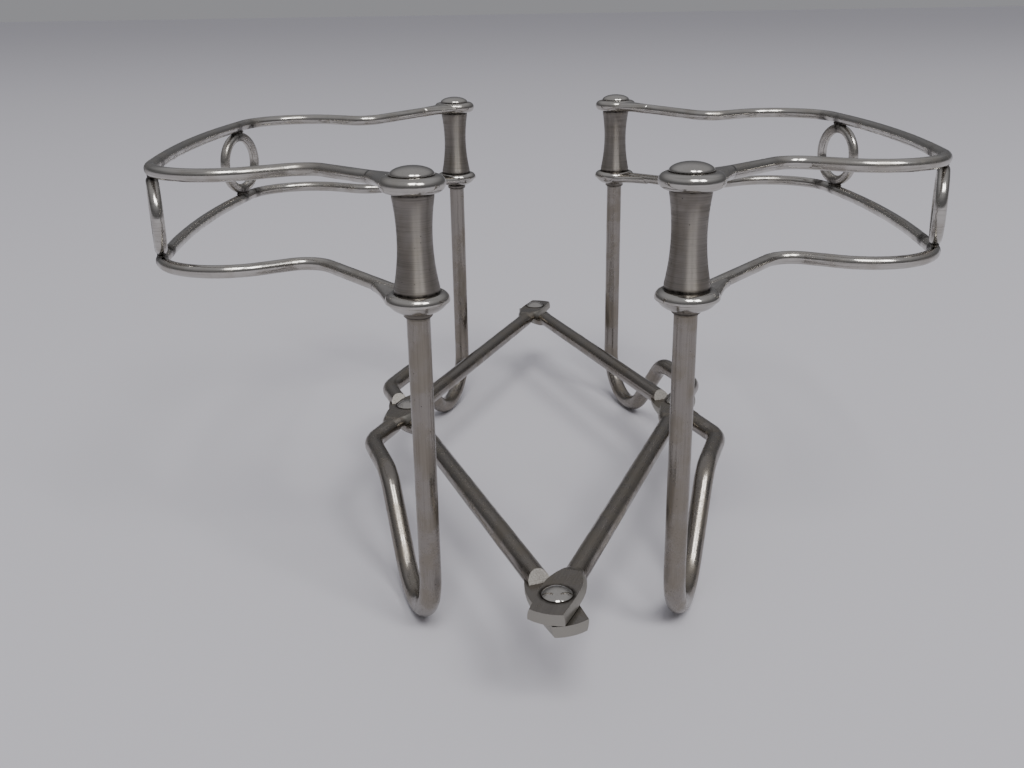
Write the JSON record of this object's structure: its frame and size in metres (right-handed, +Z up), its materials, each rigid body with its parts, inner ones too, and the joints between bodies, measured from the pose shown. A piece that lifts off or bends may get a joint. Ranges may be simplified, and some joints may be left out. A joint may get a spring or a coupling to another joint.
{
  "type": "toast rack",
  "caption": "Expanding toast rack: a riveted scissor lattice of bent round wire whose ends rise as posts and carry two hinged double-wire bows.",
  "frame": {"origin": "on the table, midway between the four posts", "axes": "+X to the right, +Y to the back along the longer way of the folded lattice, +Z up"},
  "size_m": [0.1552, 0.1846, 0.0878],
  "materials": {
    "leg_wire": "worn silver plate, satin, finely scratched along the wire",
    "bow_wire": "worn silver plate, brighter than the legs, dark tarnish at the soldered joints",
    "turned_fitting": "turned and plated, fine lengthwise brushing, small pits, tarnish in the grooves",
    "rivet": "domed, polished by wear"
  },
  "bodies": {
    "front_left_arm": {"front_left_leg": "leg_wire", "front_left_shoulder": "turned_fitting", "front_left_barrel": "turned_fitting", "front_left_cap": "turned_fitting", "left_rivet": "rivet", "back_rivet": "rivet"},
    "back_left_arm": {"back_left_leg": "leg_wire", "back_left_shoulder": "turned_fitting", "back_left_barrel": "turned_fitting", "back_left_cap": "turned_fitting"},
    "front_right_arm": {"front_right_leg": "leg_wire", "front_right_shoulder": "turned_fitting", "front_right_barrel": "turned_fitting", "front_right_cap": "turned_fitting"},
    "back_right_arm": {"back_right_leg": "leg_wire", "back_right_shoulder": "turned_fitting", "back_right_barrel": "turned_fitting", "back_right_cap": "turned_fitting", "right_rivet": "rivet", "front_rivet": "rivet"},
    "left_bow": {"left_upper_bow": "bow_wire", "left_lower_bow": "bow_wire", "front_left_upper_eye": "turned_fitting", "front_left_lower_eye": "turned_fitting", "front_left_ring": "bow_wire", "back_left_upper_eye": "turned_fitting", "back_left_lower_eye": "turned_fitting", "back_left_ring": "bow_wire"},
    "right_bow": {"right_upper_bow": "bow_wire", "right_lower_bow": "bow_wire", "front_right_upper_eye": "turned_fitting", "front_right_lower_eye": "turned_fitting", "front_right_ring": "bow_wire", "back_right_upper_eye": "turned_fitting", "back_right_lower_eye": "turned_fitting", "back_right_ring": "bow_wire"}
  },
  "joints": [
    {"name": "left_pivot", "type": "hinge", "parent": "front_left_arm", "child": "back_left_arm", "pos_m": [-0.0321, 0, 0.02], "axis": [0, 0, 1], "range_deg": [0, 34]},
    {"name": "back_pivot", "type": "hinge", "parent": "front_left_arm", "child": "front_right_arm", "pos_m": [0, 0.086, 0.02], "axis": [0, 0, 1], "range_deg": [0, 34]},
    {"name": "right_pivot", "type": "hinge", "parent": "front_right_arm", "child": "back_right_arm", "pos_m": [0.0321, 0, 0.02], "axis": [0, 0, 1], "range_deg": [-34, 0]},
    {"name": "left_bow_hinge", "type": "hinge", "parent": "front_left_arm", "child": "left_bow", "pos_m": [-0.0223, -0.0651, 0.0753], "axis": [0, 0, 1], "range_deg": [0, 17]},
    {"name": "right_bow_hinge", "type": "hinge", "parent": "back_right_arm", "child": "right_bow", "pos_m": [0.0223, 0.0651, 0.0753], "axis": [0, 0, 1], "range_deg": [0, 17]}
  ],
  "couplings": [
    {"joint": "back_pivot", "follows": "left_pivot", "ratio": 1},
    {"joint": "right_pivot", "follows": "left_pivot", "ratio": -1},
    {"joint": "left_bow_hinge", "follows": "left_pivot", "ratio": 0.5},
    {"joint": "right_bow_hinge", "follows": "left_pivot", "ratio": 0.5}
  ]
}
